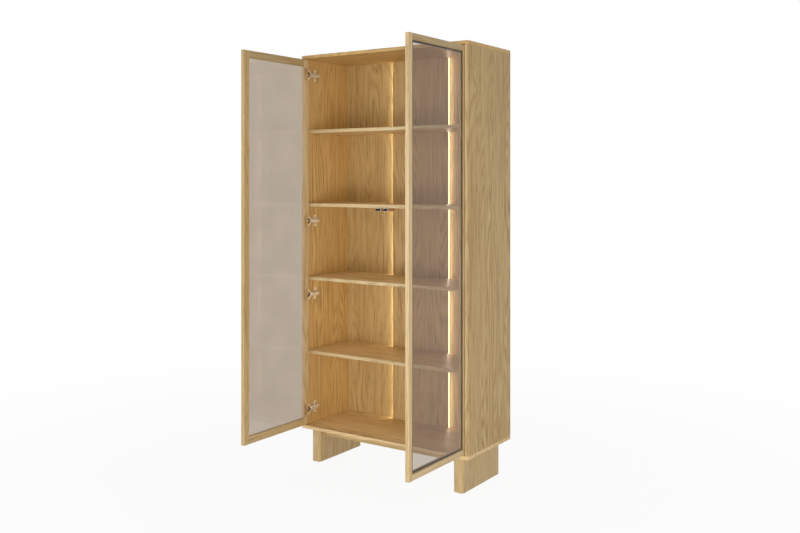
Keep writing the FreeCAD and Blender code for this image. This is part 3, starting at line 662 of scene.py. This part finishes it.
def hinge_arm():
    """The arm of one left hinge at height zero: a fork, a slotted channel, a tongue on the pin."""
    # The channel: stamped sheet, open towards the panel.
    arm = soften(block((PLATE_FACE, 0.0645, -0.007), (ARM_FACE, 0.12775, 0.007)), 0.0012)
    combine(arm, "DIFFERENCE", block(
        (PLATE_FACE - 0.001, 0.066, -0.0056), (ARM_FACE - 0.0015, 0.13, 0.0056)))
    combine(arm, "DIFFERENCE", oblong(0.0028, PLATE_FACE, 0.0795, 2.8))
    # The fork: two legs that part towards the door, each with an eyelet at its tip and its
    # outer edge folded towards the panel.
    half_width, fold = 0.0032, 0.0014
    for up in (-1.0, 1.0):
        root, tip = Vector((0.0, 0.0665, 0.004 * up)), Vector((0.0, 0.0435, 0.0225 * up))
        run = tip - root
        leg = block(
            (ARM_FACE - 0.002, 0.0, -half_width), (ARM_FACE, run.length, half_width))
        edge = -up * half_width
        lip = block(
            (ARM_FACE - 0.0085, 0.0, min(edge, edge + up * fold)),
            (ARM_FACE, run.length, max(edge, edge + up * fold)))
        combine(leg, "UNION", lip)
        leg.rotation_euler.x = math.atan2(run.z, run.y)
        leg.location = root
        apply_place(leg)
        eyelet = rod(0.0045, (ARM_FACE - 0.0026, tip.y, tip.z), (0.0036, 0.0, 0.0))
        soften(eyelet, 0.0005)
        combine(arm, "UNION", leg, eyelet)
    # The tongue between the legs, which has a window and ends in the eye that the pin fits.
    tongue = block((PIN_X - 0.0025, PIN_Y, -0.004), (PIN_X + 0.0025, 0.066, 0.004))
    combine(tongue, "UNION", rod(0.0045, (PIN_X, PIN_Y, -0.005), (0.0, 0.0, 0.01)))
    combine(tongue, "DIFFERENCE",
            rod(0.0021, (PIN_X, PIN_Y, -0.006), (0.0, 0.0, 0.012)),
            oblong(0.0029, PIN_X - 0.01, 0.0515, 4.2))
    # The round button that unclips the arm from its plate.
    clip = soften(rod(0.0042, (-0.4505, 0.1262, 0.0), (0.0, 0.0055, 0.0)), 0.0008)
    return combine(arm, "UNION", tongue, clip)


def fork_shade_disc():
    """The dark disc behind a left hinge's fork, at height zero, with a hollow hub: painted shade
    for the fork's hollow.
    """
    middle_y = 0.0565
    disc = soften(rod(0.0128, (PANEL_FACE, middle_y, 0.0), (0.0028, 0.0, 0.0), 32), 0.0007)
    hub = rod(0.0036, (PANEL_FACE + 0.0012, middle_y, 0.0), (0.004, 0.0, 0.0))
    return combine(disc, "DIFFERENCE", hub)


left_arms = repeat(hinge_arm(), [(0.0, 0.0, z) for z in HINGE_HEIGHTS])
fit(mirrored(left_arms), "right_hinge_fork_arms",
    "cabinet", "hinges", nickel, "right_hinge_arms")
fit(left_arms, "left_hinge_fork_arms", "cabinet", "hinges", nickel, "left_hinge_arms")

# Painted shade: dark discs put behind the forks, where the hollows fall in shade.
left_discs = repeat(fork_shade_disc(), [(0.0, 0.0, z) for z in HINGE_HEIGHTS])
fit(join([left_discs, mirrored(left_discs)]), "hinge_fork_shade_discs",
    "cabinet", "hinges", shade_acetal_brown)


# ---- latch mouths ----
def rounded_ring(middle, outer, inner, low_y, high_y, radius):
    """A ring with rounded corners that faces front: width and height outside and inside."""
    ring, hole = [
        block((middle[0] - width / 2, low_y - spare, middle[1] - height / 2),
              (middle[0] + width / 2, high_y + spare, middle[1] + height / 2))
        for (width, height), spare in ((outer, 0.0), (inner, 0.001))]
    for piece, corner in ((ring, radius), (hole, radius * 0.7)):
        choose(piece)
        bpy.ops.object.mode_set(mode="EDIT")
        bpy.ops.mesh.select_mode(type="EDGE")
        bpy.ops.mesh.select_all(action="DESELECT")
        bpy.ops.object.mode_set(mode="OBJECT")
        corners = piece.data.vertices
        for edge in piece.data.edges:
            start, end = (corners[vertex].co for vertex in edge.vertices)
            edge.select = abs(start.y - end.y) > abs(high_y - low_y) / 2
        bpy.ops.object.mode_set(mode="EDIT")
        bpy.ops.mesh.bevel(offset=corner, segments=4)
        bpy.ops.object.mode_set(mode="OBJECT")
    return soften(combine(ring, "DIFFERENCE", hole), 0.0003)


for name, material, *sizes in (
    ("latch_front_plates", acetal_black,
     (0.024, 0.0146), (0.0198, 0.0098), 0.0426, 0.0441, 0.004),
    ("latch_plated_rims", nickel,
     (0.0262, 0.0150), (0.0228, 0.0116), 0.0418, 0.0446, 0.005),
):
    rings = [rounded_ring(mouth, *sizes) for mouth in LATCH_MOUTHS]
    fit(join(rings), name, "cabinet", "latch", material)


# ---- light box behind the back panel ----
def light_box():
    """A moulded box with ears, a lid joint, cooling slots and a socket with a collar."""
    case = soften(block((-0.08, PANEL_REAR, 1.882), (0.08, 0.40775, 1.924)), 0.0012)
    ears = soften(block((-0.092, PANEL_REAR, 1.882), (0.092, 0.39075, 1.898)), 0.0006)
    combine(case, "UNION", ears)
    # The lid joint is a fine groove below, above, left and right.
    for (low_x, high_x), (low_z, high_z) in (
        ((-0.082, 0.082), (1.880, 1.8826)), ((-0.082, 0.082), (1.9234, 1.926)),
        ((-0.082, -0.0794), (1.880, 1.926)), ((0.0794, 0.082), (1.880, 1.926)),
    ):
        combine(case, "DIFFERENCE", block((low_x, 0.3995, low_z), (high_x, 0.4002, high_z)))
    # Seven cooling slots on each side, 6 mm apart.
    slots = [block((x - 0.0011, 0.4055, 1.890), (x + 0.0011, 0.41, 1.916))
             for side in (-1, 1) for x in [side * (0.03 + 0.006 * step) for step in range(7)]]
    combine(case, "DIFFERENCE", join(slots))
    combine(case, "DIFFERENCE", rod(0.0062, (0.0, 0.4062, SOCKET_Z), (0.0, 0.005, 0.0), 32))
    collar = rod(0.0058, (0.0, 0.4040, SOCKET_Z), (0.0, 0.0037, 0.0), 32)
    combine(case, "UNION", soften(collar, 0.0004))
    bore = rod(0.0028, (0.0, 0.39775, SOCKET_Z), (0.0, 0.02, 0.0))
    return combine(case, "DIFFERENCE", bore)


fit(light_box(), "light_box_case", "cabinet", "driver", abs_white, "light_driver")
fit(soften(rod(0.0009, (0.0, 0.3972, SOCKET_Z), (0.0, 0.0085, 0.0), 16), 0.0005),
    "light_box_socket_pin", "cabinet", "driver", nickel)


# ---- floor and background ----
def sees_background(tree):
    """One where a ray comes from the camera, a mirror or clear glass."""
    path = add(tree, "ShaderNodeLightPath")
    first = add(tree, "ShaderNodeMath", {
        0: path.outputs["Is Camera Ray"], 1: path.outputs["Is Glossy Ray"]},
        operation="MAXIMUM")
    return add(tree, "ShaderNodeMath", {
        0: first.outputs[0], 1: path.outputs["Is Transmission Ray"]},
        operation="MAXIMUM").outputs[0]


bpy.ops.mesh.primitive_plane_add(size=60.0, location=(0.0, 0.0, 0.0))
floor = bpy.context.object
floor.name = "studio_floor"
paper = bpy.data.materials.new("matt_white_studio_floor")
paper.use_nodes = True
tree = paper.node_tree
tree.nodes.clear()
matt = add(tree, "ShaderNodeBsdfDiffuse", {"Color": linear("#F4F4F2")})
glow = add(tree, "ShaderNodeEmission", {"Color": WHITE, "Strength": 1.0})
# The floor keeps its own shadow near the object and turns to plain background further off.
spot = add(tree, "ShaderNodeTexCoord")
distance = add(tree, "ShaderNodeVectorMath", {0: spot.outputs["Object"]}, operation="LENGTH")
fade = add(tree, "ShaderNodeMapRange", {
    "Value": distance.outputs["Value"], "From Min": 1.0, "From Max": 3.5,
    "To Min": 0.92, "To Max": 1.0})
share = add(tree, "ShaderNodeMath", {
    0: sees_background(tree), 1: fade.outputs[0]}, operation="MULTIPLY")
mixed = add(tree, "ShaderNodeMixShader", {
    0: share.outputs[0], 1: matt.outputs[0], 2: glow.outputs[0]})
add(tree, "ShaderNodeOutputMaterial", {"Surface": mixed.outputs[0]})
floor.data.materials.append(paper)

world = bpy.data.worlds.new("studio")
scene.world = world
world.use_nodes = True
tree = world.node_tree
tree.nodes.clear()
soft = add(tree, "ShaderNodeBackground", {"Color": WHITE, "Strength": 0.4})
shown = add(tree, "ShaderNodeBackground", {"Color": WHITE, "Strength": 1.0})
mixed = add(tree, "ShaderNodeMixShader", {
    0: sees_background(tree), 1: soft.outputs[0], 2: shown.outputs[0]})
add(tree, "ShaderNodeOutputWorld", {"Surface": mixed.outputs[0]})


# ---- lamps ----
def lamp(name, place, aim, size, watts, colour="#FFFFFF"):
    """A rectangular lamp that looks at a point. It shows in gloss, but not in the view itself."""
    data = bpy.data.lights.new(name, "AREA")
    data.shape = "RECTANGLE"
    data.size, data.size_y = size
    data.energy = watts
    data.color = linear(colour)[:3]
    light = bpy.data.objects.new(name, data)
    scene.collection.objects.link(light)
    light.location = place
    light.rotation_euler = (Vector(aim) - Vector(place)).to_track_quat("-Z", "Y").to_euler()
    light.visible_camera = light.visible_transmission = False


lamp("front_softbox", (-1.4, -5.2, 1.7), (0.0, 0.0, 0.7), (4.0, 3.0), 30.0)
lamp("low_front_softbox", (-0.8, -4.0, 0.35), (0.0, 0.0, 0.3), (2.5, 0.6), 28.0)
lamp("side_softbox", (3.4, -4.2, 0.7), (0.45, 0.0, 0.5), (2.2, 1.4), 66.0)
lamp("low_side_softbox", (2.6, -2.2, 0.35), (0.475, 0.0, 0.25), (1.5, 0.5), 26.0)
lamp("top_softbox", (0.4, -0.8, 4.4), (0.4, -0.4, 0.0), (3.0, 3.0), 18.0)
lamp("rear_softbox", (-1.6, 5.0, 1.8), (0.0, 0.0, 1.0), (3.0, 2.5), 60.0)

# The light strips' own light, which spreads over the back panel and the insides of the
# cabinet, from 1.5 mm off their covers. The wash keeps close to the back panel, so it mostly
# reaches the side panel's rear edge.
MIDDLE_Z = 1.0825
STRIP_X, STRIP_Y, WASH_Y = 0.1635, 0.36475, 0.3775
STRIP_LENGTH = 1.79
for name, x, y, width, watts, colour in (
    ("right_strip_light", STRIP_X, STRIP_Y, 0.006, 0.6, "#FFFFFA"),
    ("left_strip_light", -STRIP_X, STRIP_Y, 0.006, 0.13, "#FFFFF4"),
    ("left_strip_wash", -STRIP_X, WASH_Y, 0.003, 0.22, "#FFFFF4"),
):
    lamp(name, (x, y, MIDDLE_Z), (math.copysign(1.0, x), y, MIDDLE_Z), (width, STRIP_LENGTH),
         watts, colour)
# Light scattered between the inner faces of the cabinet: all over, and more of it low down.
FILL_Y, FILL_WIDTH, FILL_COLOUR = 0.06, 0.86, "#FFF3E0"
lamp("inside_fill", (0.0, FILL_Y, MIDDLE_Z), (0.0, 1.0, MIDDLE_Z), (FILL_WIDTH, STRIP_LENGTH),
     0.62, FILL_COLOUR)
lamp("lower_inside_fill", (0.0, FILL_Y, 0.54), (0.0, 1.0, 0.5), (FILL_WIDTH, 0.70),
     0.28, FILL_COLOUR)

scene.view_settings.view_transform = "Standard"

# ---- camera ----
camera_data = bpy.data.cameras.new("camera")
camera_data.sensor_width = 36.0
camera_data.lens = 41.17
camera_data.shift_y = -0.1105
camera = bpy.data.objects.new("camera", camera_data)
scene.collection.objects.link(camera)
camera.location = (2.4634, -3.4508, 1.3973)
camera.rotation_euler = (math.radians(90.0), 0.0, math.radians(34.0655))
scene.camera = camera
